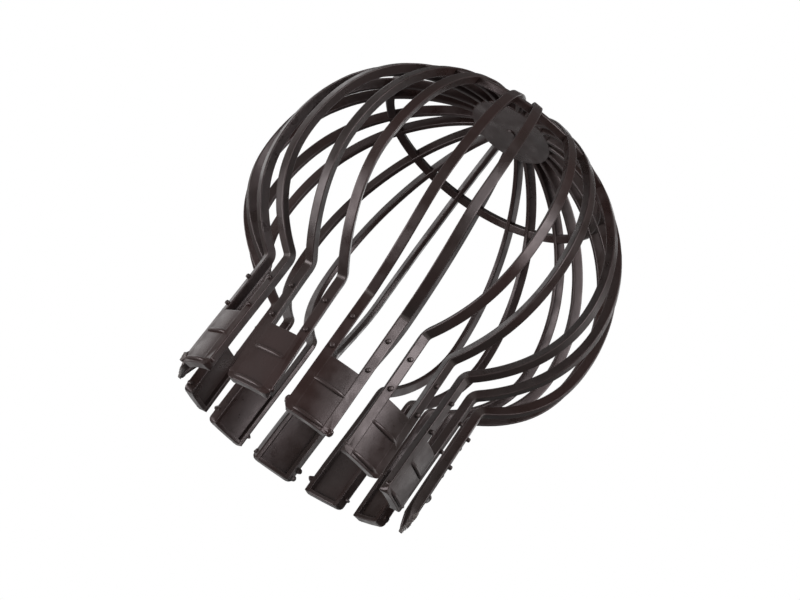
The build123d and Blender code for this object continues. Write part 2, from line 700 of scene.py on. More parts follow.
def rounded_corner(
    corner: tuple[float, float], radius: float, start: float, steps: int = 4
) -> list[tuple[float, float]]:
    """Give the points of a quarter turn inside a corner.

    Args:
        corner: the centre of the round.
        radius: the round's radius.
        start: the angle at which it starts.
        steps: number of steps in the quarter turn.

    Returns:
        The points in order.
    """
    turns = [start + pi / 2 * step / steps for step in range(steps + 1)]
    return [(corner[0] + radius * cos(turn), corner[1] + radius * sin(turn)) for turn in turns]


@dataclass
class Ribs:
    """The 24 springy ribs, two to a leg, from the foot of the legs to the disc."""

    sizes: GuardSizes
    outer_round: float = 0.28 * MM
    inner_round: float = 0.38 * MM
    foot_round: float = 2.0 * MM
    bend: float = 0.9 * MM
    root: float = 2.2 * MM
    ripple: float = 0.07 * MM
    witness_radius: float = 53.0 * MM
    witness_step: float = 0.07 * MM
    # Reach of the painted highlight bar across each rib's kink
    kink_highlight_reach: float = 1.3 * MM
    joined_height: float = 19.5 * MM
    # Stations: heights in millimetres where the foot's corner is round, and shares of the bend
    foot_heights: tuple[float, ...] = (0.0, 0.12, 0.4, 0.9, 1.5, 2.0)
    knee_shares: tuple[float, ...] = (0.2, 0.4, 0.6, 0.8)
    collar_steps: int = 9
    flare_steps: int = 22
    crown_steps: int = 40
    seed: float = 4.0

    def section(self) -> Section:
        """Draw a rib's section, flat outside and narrower inside.

        Returns:
            The section: +X outwards from the middle of the rib's face, and +Y to its side.
        """
        s = self.sizes
        half = s.rib_width / 2
        inner = s.rib_inner_width / 2
        return Section(
            corners=((0.0, -half), (0.0, half), (-s.rib_depth, inner), (-s.rib_depth, -inner)),
            rounds=(self.outer_round, self.outer_round, self.inner_round, self.inner_round),
        )

    def lower_run(self) -> list[tuple[Vector, Vector]]:
        """Follow the rib up its leg, round the kink and out to the widest ring.

        Returns:
            A point of the outer face's middle and the face's direction, for each station.
        """
        s = self.sizes
        flare = s.leg_face / s.equator_face
        lower_rise = (s.equator_height - s.neck_height) / sqrt(1 - flare**2)
        start = acos(flare)
        speed = sqrt((s.equator_face * sin(start)) ** 2 + (lower_rise * cos(start)) ** 2)
        leave = start - self.bend / speed

        def on_curve(turn: float) -> tuple[Vector, Vector]:
            """Follow the lower curve.

            Args:
                turn: the ellipse's angle, from the widest ring down.

            Returns:
                A point of the curve and the way it runs there.
            """
            point = Vector((s.equator_face * cos(turn), s.equator_height - lower_rise * sin(turn)))
            along = Vector((s.equator_face * sin(turn), lower_rise * cos(turn))).normalized()
            return point, along

        stations: list[tuple[Vector, Vector]] = []
        heights = [height * MM for height in self.foot_heights]
        top = heights[-1]
        straight = s.neck_height - self.bend - top
        heights += [top + straight * (i + 1) / self.collar_steps for i in range(self.collar_steps)]
        stations += [(Vector((s.leg_face, height)), Vector((0.0, 1.0))) for height in heights]
        knee = Vector((s.leg_face, s.neck_height))
        out = on_curve(leave)[0]
        below = stations[-1][0]
        for step in self.knee_shares:
            point = below * (1 - step) ** 2 + knee * 2 * step * (1 - step) + out * step**2
            along = ((knee - below) * (1 - step) + (out - knee) * step).normalized()
            stations.append((point, along))
        shares = [i / self.flare_steps for i in range(self.flare_steps + 1)]
        stations += [on_curve(leave * (1 - share)) for share in shares]

        turn = s.rib_angle
        runs = []
        for point, along in stations:
            place = Vector((point.x, s.rib_offset, point.y))
            outwards = Vector((along.y, 0.0, -along.x))
            runs.append((place, outwards * cos(turn) + Vector((0.0, sin(turn), 0.0))))
        return runs

    def upper_run(self) -> list[tuple[Vector, Vector]]:
        """Follow the rib from the widest ring up to the disc, in its own upright plane.

        Returns:
            A point of the outer face's middle and the face's direction, for each station.
        """
        s = self.sizes
        equator = Vector((s.equator_face, s.rib_offset, 0.0))
        spot = s.leg_pitch / 4
        disc_point = Vector((s.disc_radius * cos(spot), s.disc_radius * sin(spot), 0.0))
        ahead = (equator - disc_point).normalized()
        reach = equator.dot(ahead)
        foot = equator - ahead * reach
        across = Vector((-ahead.y, ahead.x, 0.0))
        end = acos((s.disc_radius - self.root) / reach)
        turn = s.rib_angle - np.arctan2(ahead.y, ahead.x)
        runs = []
        for i in range(1, self.crown_steps + 1):
            angle = end * i / self.crown_steps
            out = reach * cos(angle)
            height = s.equator_height + s.crown_rise * sin(angle)
            place = foot + ahead * out + Vector((0.0, 0.0, height))
            slope = Vector((0.0, 0.0, sin(angle) / s.crown_rise))
            normal = (ahead * cos(angle) / reach + slope).normalized()
            face = normal * cos(turn) + across * sin(turn)
            if out < self.witness_radius:
                place = place - normal * self.witness_step
            runs.append((place, face))
        return runs

    def shell(self, side: Side, shop: Workshop) -> bpy.types.Object:
        """Sweep the ribs on one side of every leg.

        Args:
            side: which side of the legs.
            shop: the workshop.

        Returns:
            One object with twelve closed ribs.
        """
        s = self.sizes
        stations = self.lower_run() + self.upper_run()
        places = [place for place, _ in stations]
        knee = Vector((s.leg_face, s.rib_offset, s.neck_height))
        # A painted highlight bar across the kink of every rib, fading out from it
        stress = [max(0.0, 1 - (place - knee).length / self.kink_highlight_reach) for place in places]
        run = {
            "place": np.array([tuple(place) for place in places]),
            "face": np.array([tuple(face) for _, face in stations]),
            "girth": np.ones(len(stations)),
            "stress": np.array(stress),
            "joined": np.array([float(place.z < self.joined_height) for place in places]),
        }
        return shop.sweep(
            f"ribs_{side.name.lower()}",
            self.section(),
            [run],
            self.ripple,
            self.seed + side.value,
            self.foot_round,
            mirror=side is Side.CLOCKWISE,
        )


@dataclass
class Plates:
    """The curved plate that closes the lower part of each leg, with its inward rim and ridges."""

    sizes: GuardSizes
    height: float = 19.0 * MM
    wall: float = 1.6 * MM
    setback: float = 0.03 * MM
    rim_height: float = 1.5 * MM
    rim_inset: float = 0.15 * MM
    # Rounds of the wall's corners: outer top, outer foot, the rim's two, under the rim, inner top
    rounds: tuple[float, ...] = (0.25 * MM, 0.2 * MM, 0.3 * MM, 0.3 * MM, 0.12 * MM, 0.3 * MM)
    arc_steps: int = 14
    ridge_heights: tuple[float, ...] = (1.4 * MM, 11.4 * MM)
    ridge_span: float = 10.4 * MM
    ridge_rise: float = 0.8 * MM
    ridge_thickness: float = 1.2 * MM
    ridge_sunk: float = 0.1 * MM
    # Shares: of the half thickness, of the wall, and of the girth
    ridge_round: float = 0.85
    ridge_root: float = 0.6
    ridge_end: float = 0.6
    ripple: float = 0.03 * MM
    seed: float = 9.0

    def section(self) -> Section:
        """Draw the wall's section, with its rim along the foot.

        Returns:
            The section: +X outwards from the plate's face, and +Y downwards.
        """
        s = self.sizes
        rim = s.rib_depth - self.rim_inset - self.setback
        return Section(
            corners=(
                (0.0, -self.height),
                (0.0, 0.0),
                (-rim, 0.0),
                (-rim, -self.rim_height),
                (-self.wall, -self.rim_height),
                (-self.wall, -self.height),
            ),
            rounds=self.rounds,
            support=0.3 * MM,
        )

    def arc(
        self, radius: float, half_span: float, height: float, bulge: float = 0.0
    ) -> dict[str, np.ndarray]:
        """Follow an arc about the centre line, across one leg.

        Args:
            radius: the arc's radius at its ends.
            half_span: half the angle that it covers.
            height: its height.
            bulge: how much further out its middle stands.

        Returns:
            The run's points, face directions and girths.
        """
        shares = np.linspace(-1.0, 1.0, self.arc_steps + 1)
        angles = shares * half_span
        radii = radius + bulge * (1 - shares**4)
        place = on_rings(radii, angles, height)
        return {"place": place, "face": on_rings(1.0, angles, 0.0), "girth": np.ones(len(angles))}

    def shell(self, shop: Workshop) -> bpy.types.Object:
        """Sweep the plates of all the legs.

        Args:
            shop: the workshop.

        Returns:
            One object with twelve closed plates.
        """
        path = self.arc(self.sizes.collar_radius - self.setback, self.sizes.rib_angle, 0.0)
        return shop.sweep("plates", self.section(), [path], self.ripple, self.seed)

    def ridges(self, shop: Workshop) -> bpy.types.Object:
        """Sweep the two raised ridges across every plate, thin at their ends.

        Args:
            shop: the workshop.

        Returns:
            One object with 24 closed ridges.
        """
        s = self.sizes
        thick = self.ridge_thickness / 2
        deep = self.wall * self.ridge_root
        outer = thick * self.ridge_round
        inner = self.ridge_sunk
        section = Section(
            corners=((0.0, -thick), (0.0, thick), (-deep, thick), (-deep, -thick)),
            rounds=(outer, outer, inner, inner),
            support=0.02 * MM,
            arc_steps=4,
        )
        half_span = asin(self.ridge_span / 2 / s.collar_radius)
        ends = s.collar_radius - self.setback - self.ridge_sunk
        paths = []
        for height in self.ridge_heights:
            path = self.arc(ends, half_span, height, self.ridge_rise + self.ridge_sunk)
            shares = np.linspace(-1.0, 1.0, self.arc_steps + 1)
            thinned = np.sqrt(np.maximum(1 - shares**4, 0.0))
            path["girth"] = self.ridge_end + (1 - self.ridge_end) * thinned
            paths.append(path)
        return shop.sweep("ridges", section, paths, seed=self.seed)


@dataclass
class Pips:
    """The small domed pips that space the legs off the pipe, two to a rib."""

    sizes: GuardSizes
    radius: float = 0.7 * MM
    rise: float = 1.0 * MM
    sunk: float = 1.2 * MM
    flare: float = 1.06
    crown: float = 0.02 * MM
    edge_round: float = 0.4 * MM
    heights: tuple[float, ...] = (21.4 * MM, 31.4 * MM)
    steps: int = 14
    spread: float = 0.08
    ruggedness: float = 0.05 * MM
    seed: int = 11

    def shape(self) -> bpy.types.Object:
        """Turn one pip about Z and lay it along +X.

        Returns:
            The pip as an object.
        """
        edge = self.edge_round
        shoulder = self.rise - edge
        outline = [(0.0, -self.sunk), (self.radius * self.flare, -self.sunk)]
        outline.append((self.radius, shoulder))
        outline += rounded_corner((self.radius - edge, shoulder), edge, 0.0)[1:]
        outline.append((0.0, self.rise + self.crown))
        # The pip's shoulder and dome are marked to be lightened, partly for wear and partly as a
        # painted highlight
        worn = [0.0, 0.0, 0.6] + [1.0] * (len(outline) - 4) + [0.6]
        mesh = lathe("pip_shape", outline, self.steps, worn)
        mesh.transform(Matrix.Rotation(pi / 2, 4, "Y"))
        return new_object("pip_shape", mesh)

    def shell(self, shop: Workshop) -> bpy.types.Object:
        """Set a pip at each height of each rib.

        Args:
            shop: the workshop.

        Returns:
            One object with all the pips.
        """
        s = self.sizes
        marks: dict[str, list] = {"place": [], "aim": [], "stretch": []}
        for leg in range(s.leg_count):
            for side in Side:
                angle = leg * s.leg_pitch + side.value * s.rib_angle
                aim = (cos(angle), sin(angle), 0.0)
                x, y = s.collar_radius * aim[0], s.collar_radius * aim[1]
                for height in self.heights:
                    marks["place"].append((x, y, height))
                    marks["aim"].append(aim)
                    marks["stretch"].append((1.0, 1.0, 1.0))
        return shop.scatter("pips", self.shape(), marks, self.spread, self.ruggedness, self.seed)


@dataclass(frozen=True)
class Stub:
    """One trimmed or torn bridge end at a lower corner of a leg."""

    leg: Leg
    side: Side
    height: float = 2.4 * MM
    stretch: tuple[float, float, float] = (1.0, 1.0, 1.0)
    outwards: float = 0.0
    torn: bool = False


@dataclass
class Stubs:
    """What is left of the moulding's bridges at the lower corners of the legs, trimmed unevenly."""

    sizes: GuardSizes
    radius: float = 1.1 * MM
    length: float = 1.6 * MM
    reach: float = 0.55 * MM
    height: float = 2.4 * MM
    edge_round: float = 0.35 * MM
    sunk: float = 0.1 * MM
    spread: float = 0.14
    ruggedness: float = 0.8 * MM
    torn_ruggedness: float = 2.0 * MM
    seed: int = 5
    steps: int = 16
    plain: tuple[float, float, float] = (0.9, 0.6, 0.7)
    # Radius and height in millimetres, from the point at the foot to the root
    spindle: tuple[tuple[float, float], ...] = (
        (0.0, -2.9), (0.3, -2.6), (0.55, -2.1), (0.8, -1.5), (1.05, -0.9), (1.15, -0.3),
        (1.1, 0.3), (0.95, 0.9), (0.8, 1.5), (0.5, 2.1), (0.0, 2.4),
    )
    bold: tuple[Stub, ...] = (
        Stub(Leg.FRONT, Side.CLOCKWISE, 2.5 * MM, (0.9, 0.95, 1.1), -0.15 * MM),
        Stub(Leg.FRONT, Side.ANTICLOCKWISE, 1.35 * MM, (0.9, 0.75, 0.95), -0.1 * MM),
        Stub(Leg.BACK_LEFT, Side.CLOCKWISE, 4.4 * MM, (0.9, 0.8, 0.6)),
        Stub(Leg.BACK_LEFT, Side.ANTICLOCKWISE, 4.6 * MM, (0.9, 0.9, 0.7)),
        Stub(Leg.BACK, Side.CLOCKWISE, 4.8 * MM, (1.0, 1.25, 0.9)),
        Stub(Leg.BACK, Side.CLOCKWISE, 2.0 * MM, (0.9, 1.0, 0.8)),
        Stub(Leg.BACK_RIGHT, Side.ANTICLOCKWISE, 4.6 * MM, (1.0, 1.15, 0.8)),
        Stub(Leg.BACK_RIGHT, Side.CLOCKWISE, 3.8 * MM, (0.9, 0.85, 0.6)),
        Stub(Leg.RIGHT_BACK, Side.ANTICLOCKWISE, 4.0 * MM, (0.9, 0.9, 0.7)),
        Stub(Leg.LEFT, Side.ANTICLOCKWISE, 2.6 * MM, (1.0, 1.1, 0.8), 0.5 * MM, torn=True),
        Stub(Leg.LEFT_FRONT, Side.CLOCKWISE, 2.0 * MM, (0.9, 0.9, 0.6), 0.4 * MM, torn=True),
        Stub(Leg.RIGHT, Side.CLOCKWISE, 3.4 * MM, (0.8, 0.7, 0.7), 0.6 * MM, torn=True),
    )

    def shape(self, torn: bool) -> bpy.types.Object:
        """Turn one stub and lay it along +X, or turn an upright torn one.

        Both have points enough to be roughened.

        Args:
            torn: whether its plastic has been torn, which leaves it pale.

        Returns:
            The stub as an object.
        """
        if torn:
            outline = [(radius * MM, height * MM) for radius, height in self.spindle]
            # The whole stub is half lightened, partly for wear and partly as a painted highlight
            mesh = lathe("torn_stub_shape", outline, self.steps, [0.5] * len(outline))
            pale = mesh.attributes.new("torn", "FLOAT", "POINT")
            pale.data.foreach_set("value", [1.0] * len(mesh.vertices))
            return new_object("torn_stub_shape", mesh)
        half = self.length / 2
        edge = self.edge_round
        outline = [(self.radius * share, -half) for share in (0.0, 0.5, 0.9)]
        outline += [(self.radius, -half + edge), (self.radius, 0.0), (self.radius, half - edge)]
        outline += rounded_corner((self.radius - edge, half - edge), edge, 0.0, 3)[1:]
        outline += [(self.radius * 0.35, half), (0.0, half)]
        # The whole stub is half lightened, partly for wear and partly as a painted highlight
        mesh = lathe("stub_shape", outline, self.steps, [0.5] * len(outline))
        mesh.transform(Matrix.Rotation(pi / 2, 4, "Y"))
        return new_object("stub_shape", mesh)

    def shell(self, torn: bool, shop: Workshop) -> bpy.types.Object:
        """Set out the torn stubs, or the trimmed ones with a small one at every bare corner.

        Args:
            torn: which of the two.
            shop: the workshop.

        Returns:
            One object with all of those stubs.
        """
        s = self.sizes
        chosen = [stub for stub in self.bold if stub.torn is torn]
        if not torn:
            taken = {(stub.leg, stub.side) for stub in self.bold}
            bare = [(leg, side) for leg in Leg for side in Side if (leg, side) not in taken]
            chosen += [Stub(leg, side, self.height, self.plain) for leg, side in bare]
        marks: dict[str, list] = {"place": [], "aim": [], "stretch": []}
        for stub in chosen:
            angle = stub.leg.turn(s)
            out = s.leg_face - self.length / 2 - self.sunk + stub.outwards
            across = stub.side.value * (s.half_leg + self.reach - self.radius)
            marks["place"].append((*turned(out, across, angle), stub.height))
            marks["aim"].append((cos(angle), sin(angle), 0.0))
            marks["stretch"].append(stub.stretch)
        name = "torn_stubs" if torn else "stubs"
        roughness = self.torn_ruggedness if torn else self.ruggedness
        return shop.scatter(name, self.shape(torn), marks, self.spread, roughness, self.seed)


@dataclass
class Hoop:
    """The flat band inside the crown that ties the ribs together."""

    sizes: GuardSizes
    radius: float = 39.8 * MM
    width: float = 2.8 * MM
    cover: float = 0.5 * MM
    inset: float = 0.15 * MM
    edge_round: float = 0.35 * MM
    ripple: float = 0.03 * MM
    seed: float = 2.0
    steps: int = 144

    def shell(self, shop: Workshop) -> bpy.types.Object:
        """Sweep the band once round, square to the ribs' inner faces.

        Args:
            shop: the workshop.

        Returns:
            One object with the closed band.
        """
        s = self.sizes
        outer = -self.cover
        inner = outer - (s.rib_depth - self.cover - self.inset)
        half = self.width / 2
        section = Section(
            corners=((outer, -half), (outer, half), (inner, half), (inner, -half)),
            rounds=(self.edge_round,) * 4,
            support=0.2 * MM,
        )
        latitude = acos(self.radius / s.balloon_radius)
        slope = Vector((cos(latitude) / s.balloon_radius, sin(latitude) / s.crown_rise))
        slope.normalize()
        angles = np.arange(self.steps) * tau / self.steps
        run = {
            "place": on_rings(self.radius, angles, s.crown_height(self.radius)),
            "face": on_rings(slope.x, angles, slope.y),
            "girth": np.ones(self.steps),
        }
        return shop.sweep("hoop", section, [run], self.ripple, self.seed, closed=True)


@dataclass
class Disc:
    """The small disc on top, flat inside and gently domed outside, with the mark of the gate."""

    sizes: GuardSizes
    rim: float = 3.6 * MM
    dome: float = 1.1 * MM
    edge_round: float = 0.4 * MM
    gate_radius: float = 1.6 * MM
    gate_rise: float = 0.35 * MM
    gate_round: float = 0.12 * MM
    support: float = 0.3 * MM
    steps: int = 120
    dome_steps: int = 12

    def shell(self, shop: Workshop) -> bpy.types.Object:
        """Turn the disc about the centre line.

        Args:
            shop: the workshop.

        Returns:
            One object with the closed disc.
        """
        s = self.sizes
        top = s.crown_height(s.disc_radius) + s.disc_cover
        floor = top - self.rim
        edge = self.edge_round
        inside = s.disc_radius - edge
        gate = floor - self.gate_rise
        small = self.gate_round
        sphere = (s.disc_radius**2 + self.dome**2) / (2 * self.dome)
        outline = [(0.0, gate), (self.gate_radius - small, gate), (self.gate_radius, gate + small)]
        outline += [(self.gate_radius, floor - small), (self.gate_radius + small, floor)]
        outline.append((self.gate_radius + 3 * small, floor))
        outline += [(s.disc_radius * share, floor) for share in (0.5, 0.8)]
        outline.append((inside - self.support, floor))
        outline += rounded_corner((inside, floor + edge), edge, -pi / 2)
        outline.append((s.disc_radius, floor + edge + self.support))
        outline.append((s.disc_radius, top - edge - self.support))
        outline += rounded_corner((inside, top - edge), edge, 0.0)
        # The disc's rounded edges are marked to be lightened, partly for wear and partly as a
        # painted highlight
        worn = []
        for radius, height in outline:
            on_edge = height < floor + edge or height > top - edge
            worn.append(float(on_edge and radius > inside - small))
        for i in range(1, self.dome_steps + 1):
            radius = inside * (1 - i / self.dome_steps)
            outline.append((radius, top + self.dome - sphere + sqrt(sphere**2 - radius**2)))
            worn.append(0.0)
        mesh = lathe("disc", outline, self.steps, worn)
        mesh.materials.append(shop.plastic)
        return new_object("disc", mesh)


@dataclass(frozen=True)
class Lean:
    """How far one leg and its ribs stand out of true, outwards and anticlockwise, at three levels.

    The skew is the leg's slope outwards per anticlockwise length, up to the neck. A frayed leg has
    torn off at its foot and ends in a thin ragged edge.
    """

    leg: Leg
    foot: tuple[float, float] = (0.0, 0.0)
    neck: tuple[float, float] = (0.0, 0.0)
    ring: tuple[float, float] = (0.0, 0.0)
    skew: float = 0.0
    frayed: bool = False


@dataclass(frozen=True)
class Handling:
    """The set that the soft plastic has taken from handling: a slight twist, and legs that lean."""

    twist: float = radians(1.75)
    fray_height: float = 6.5 * MM
    fray_share: float = 0.85
    fray_depth: float = 0.9 * MM
    fray_roughness: float = 0.35 * MM
    fray_pitch: float = 0.8 * MM
    fray_slant: float = 0.7
    leans: tuple[Lean, ...] = (
        Lean(Leg.RIGHT, (3.5 * MM, 0.0), (3.6 * MM, 0.0), skew=0.015, frayed=True),
        Lean(Leg.RIGHT_FRONT, (0.0, 0.0), (0.9 * MM, 0.0), (0.8 * MM, 0.0)),
        Lean(Leg.RIGHT_BACK, (0.3 * MM, 0.0), (0.8 * MM, 0.0)),
        Lean(Leg.BACK_RIGHT, (-1.5 * MM, 0.4 * MM)),
        Lean(Leg.BACK, (0.0, 1.2 * MM)),
        Lean(Leg.BACK_LEFT, (0.9 * MM, 0.4 * MM)),
        Lean(Leg.LEFT_BACK, ring=(-1.7 * MM, 0.0)),
        Lean(Leg.LEFT, (1.0 * MM, 0.0), (-0.2 * MM, 0.0), (-1.8 * MM, 0.0), frayed=True),
        Lean(Leg.LEFT_FRONT, (2.4 * MM, -1.0 * MM), (1.7 * MM, -0.7 * MM), (-1.4 * MM, 0.0)),
        Lean(Leg.FRONT_LEFT, neck=(0.2 * MM, -1.1 * MM)),
    )

    def apply(self, mesh: bpy.types.Mesh, sizes: GuardSizes, hoop_radius: float) -> None:
        """Lean the legs and their ribs, and turn the legs against the cage.

        Args:
            mesh: the fused mesh.
            sizes: the guard's sizes.
            hoop_radius: radius of the hoop, above which nothing leans.
        """
        places = np.empty(len(mesh.vertices) * 3)
        mesh.vertices.foreach_get("co", places)
        x, y, z = places.reshape(-1, 3).T
        round_from_front = (np.arctan2(y, x) + pi / 2) / sizes.leg_pitch
        nearest = np.round(round_from_front).astype(int) % sizes.leg_count
        levels = (0.0, sizes.neck_height, sizes.equator_height, sizes.crown_height(hoop_radius))
        level = np.interp(z, levels, range(len(levels)))
        below = np.minimum(level.astype(int), len(levels) - 2)
        share = eased(level - below)

        def at_height(values: np.ndarray) -> np.ndarray:
            """Blend the values of the levels below and above each point."""
            return values[below] * (1 - share) + values[below + 1] * share

        pale = np.empty(len(mesh.vertices))
        mesh.attributes["torn"].data.foreach_get("value", pale)
        for lean in self.leans:
            own = nearest == lean.leg.value
            turn = lean.leg.turn(sizes)
            out, aside = turned(x, y, -turn)
            outs, asides = np.array([lean.foot, lean.neck, lean.ring, (0.0, 0.0)]).T
            skews = np.array([lean.skew, lean.skew, 0.0, 0.0])
            outwards = at_height(outs) + aside * at_height(skews)
            if lean.frayed:
                torn = np.clip(1 - z / self.fray_height, 0.0, 1.0)
                wave = np.sin(tau * (z + self.fray_slant * aside) / self.fray_pitch)
                thinned = self.fray_share * (sizes.collar_radius - self.fray_depth - out)
                outwards += torn * (thinned + wave * self.fray_roughness)
                pale[own] = np.maximum(pale, torn**2)[own]
            along_x, along_y = turned(outwards, at_height(asides), turn)
            x += np.where(own, along_x, 0.0)
            y += np.where(own, along_y, 0.0)
        fall = (sizes.equator_height - z) / (sizes.equator_height - sizes.neck_height)
        x, y = turned(x, y, self.twist * eased(np.clip(fall, 0.0, 1.0)))
        mesh.vertices.foreach_set("co", np.stack([x, y, z], axis=1).ravel())
        mesh.attributes["torn"].data.foreach_set("value", pale)
        mesh.update()


@dataclass(frozen=True)
class MouldedPlastic:
    """Finish of the moulding: dark brown, half gloss, uneven where the plastic flowed, lighter on
    rounded edges from wear and a painted highlight, with a painted highlight bar at each kink.
    """

    name: str = "moulded_plastic"
    deep: tuple[float, ...] = (0.0240, 0.0125, 0.0110, 1.0)
    grey: tuple[float, ...] = (0.0205, 0.0155, 0.0140, 1.0)
    # Lighter colour of rounded edges: partly wear, partly a painted highlight
    edge_wear_and_highlight_tone: tuple[float, ...] = (0.050, 0.038, 0.037, 1.0)
    # Pale colour of torn plastic, also used for the painted highlight bar at the kinks
    torn: tuple[float, ...] = (0.130, 0.115, 0.108, 1.0)
    sheen_tint: tuple[float, ...] = (1.0, 0.87, 0.89, 1.0)
    flow_scale: float = 38.0
    flow_stretch: tuple[float, float, float] = (1.0, 1.0, 0.6)
    flow_ramp: Ramp = Ramp(0.35, 0.68)
    edge_wear_and_highlight_ramp: Ramp = Ramp(0.4, 1.0, end=0.5)
    torn_ramp: Ramp = Ramp(0.3, 1.0, end=0.75)
    # Strength of the painted highlight bar at the kinks
    kink_highlight_ramp: Ramp = Ramp(0.2, 1.0, end=0.35)
    gloss_scale: float = 160.0
    roughness: Ramp = Ramp(0.34, 0.66, start=0.25, end=0.45)
    grain_scale: float = 1100.0
    grain_height: float = 0.003 * MM
    wave_scale: float = 330.0
    wave_height: float = 0.03 * MM

    def build(self) -> bpy.types.Material:
        """Make the material.

        Returns:
            The finished material.
        """
        material, nodes = new_material(self.name)
        flow = nodes.noise(self.flow_scale, detail=3.0, stretch=self.flow_stretch)
        colour = nodes.blend(nodes.ramp(flow, self.flow_ramp), self.deep, self.grey)
        worn, joined = nodes.attribute("worn"), nodes.attribute("joined")
        # Lighten rounded edges, except where the ribs join the plates: partly wear, partly a
        # painted highlight
        bare = nodes.math("SUBTRACT", worn, joined, use_clamp=True)
        colour = nodes.blend(nodes.ramp(bare, self.edge_wear_and_highlight_ramp), colour, self.edge_wear_and_highlight_tone)
        torn = nodes.ramp(nodes.attribute("torn"), self.torn_ramp)
        # Pale where the plastic is torn, and a painted highlight bar across each kink
        stress = nodes.ramp(nodes.attribute("stress"), self.kink_highlight_ramp)
        colour = nodes.blend(nodes.math("MAXIMUM", torn, stress), colour, self.torn)
        wave = {"Height": nodes.noise(self.wave_scale), "Distance": self.wave_height}
        grain = {"Height": nodes.noise(self.grain_scale), "Distance": self.grain_height}
        grain["Normal"] = nodes.add("ShaderNodeBump", wave).outputs[0]
        finish = {
            "Base Color": colour,
            "Specular Tint": self.sheen_tint,
            "Roughness": nodes.ramp(nodes.noise(self.gloss_scale, detail=6.0), self.roughness),
            "Normal": nodes.add("ShaderNodeBump", grain).outputs[0],
        }
        nodes.feed(nodes.tree.nodes["Principled BSDF"], finish)
        return material


@dataclass
class Moulding:
    """The whole guard, fused from its closed shells into one mesh."""

    sizes: GuardSizes
    plastic: bpy.types.Material
    crease: float = radians(38.0)
    merge: float = 0.002 * MM

    def build(self) -> bpy.types.Object:
        """Make every shell, fuse them and dress the result.

        Returns:
            The finished piece.
        """
        s = self.sizes
        shop = Workshop(s, self.plastic)
        ribs, plates, stubs, hoop = Ribs(s), Plates(s), Stubs(s), Hoop(s)
        shells = [ribs.shell(side, shop) for side in Side]
        shells += [plates.shell(shop), plates.ridges(shop), Pips(s).shell(shop)]
        shells += [stubs.shell(torn, shop) for torn in (False, True)]
        shells += [hoop.shell(shop), Disc(s).shell(shop)]
        for shell in shells:
            log.info("%s: %d faces", shell.name, len(shell.data.polygons))
        piece = self.fuse("moulding", shells)
        Handling().apply(piece.data, s, hoop.radius)
        self.smooth(piece.data)
        return piece

    def fuse(self, name: str, shells: list[bpy.types.Object]) -> bpy.types.Object:
        """Unite the shells, one after the other.

        Args:
            name: the name of the fused piece.
            shells: the closed shells, used up here.

        Returns:
            The fused piece.
        """
        piece = shells[0]
        for shell in shells[1:]:
            union = piece.modifiers.new("fuse", "BOOLEAN")
            union.operation = "UNION"
            union.solver = "MANIFOLD"
            union.object = shell
            evaluated = piece.evaluated_get(bpy.context.evaluated_depsgraph_get())
            fused = bpy.data.meshes.new_from_object(evaluated)
            piece.modifiers.remove(union)
            piece.data = fused
        for shell in shells[1:]:
            bpy.data.objects.remove(shell)
        piece.name = name
        piece.data.name = name
        return piece

    def smooth(self, mesh: bpy.types.Mesh) -> None:
        """Clean the fused mesh and shade it smooth between its creases.

        Merging points by distance may leave a few edges open or loose. Their number is logged.

        Args:
            mesh: the fused mesh.
        """
        work = bmesh.new()
        work.from_mesh(mesh)
        bmesh.ops.remove_doubles(work, verts=work.verts, dist=self.merge)
        bmesh.ops.dissolve_degenerate(work, edges=work.edges, dist=self.merge)
        work.to_mesh(mesh)
        loose = sum(1 for edge in work.edges if not edge.is_manifold)
        volume = work.calc_volume() / MM**3
        log.info("moulding: %d faces, %.0f cubic mm", len(work.faces), volume)
        log.info("moulding: %d open or loose edges", loose)
        work.free()
        mesh.shade_smooth()
        mesh.set_sharp_from_angle(angle=self.crease)


@dataclass(frozen=True)
class Softbox:
    """A rectangular soft lamp that faces the guard from a distance."""

    name: str
    azimuth: float
    elevation: float
    width: float
    height: float
    brightness: float


@dataclass(frozen=True)
class Viewpoint:
    """Where the photograph was taken from, and its lens.

    The turn runs from -Y towards -X, the tilt looks up from below, and the roll leans the picture.
    The slide shifts what is seen right and up.
    """

    turn: float = radians(-2.3)
    tilt: float = radians(20.41)
    roll: float = radians(35.11)
    distance: float = 450.0 * MM
    aim: float = 62.4 * MM
    slide: tuple[float, float] = (1.48 * MM, 4.97 * MM)
    focal_pixels: float = 1488.87
    picture_pixels: float = 800.0
    sensor_width: float = 36.0
    clip_start: float = 10.0 * MM

    def build(self) -> None:
        """Set the camera there."""
        across = Vector((cos(self.turn), -sin(self.turn), 0.0))
        towards = Vector((-sin(self.turn), -cos(self.turn), 0.0))
        up = Vector((0.0, 0.0, 1.0))
        lift = towards * sin(self.tilt) + up * cos(self.tilt)
        back = towards * cos(self.tilt) - up * sin(self.tilt)
        right = across * cos(self.roll) + lift * sin(self.roll)
        top = lift * cos(self.roll) - across * sin(self.roll)
        lens = bpy.data.cameras.new("camera")
        lens.sensor_width = self.sensor_width
        lens.lens = self.focal_pixels / self.picture_pixels * self.sensor_width
        lens.clip_start = self.clip_start
        matrix = Matrix((right, top, back)).transposed().to_4x4()
        slide = right * self.slide[0] + top * self.slide[1]
        matrix.translation = up * self.aim + back * self.distance - slide
        camera = new_object("camera", lens)
        camera.matrix_world = matrix
        bpy.context.scene.camera = camera


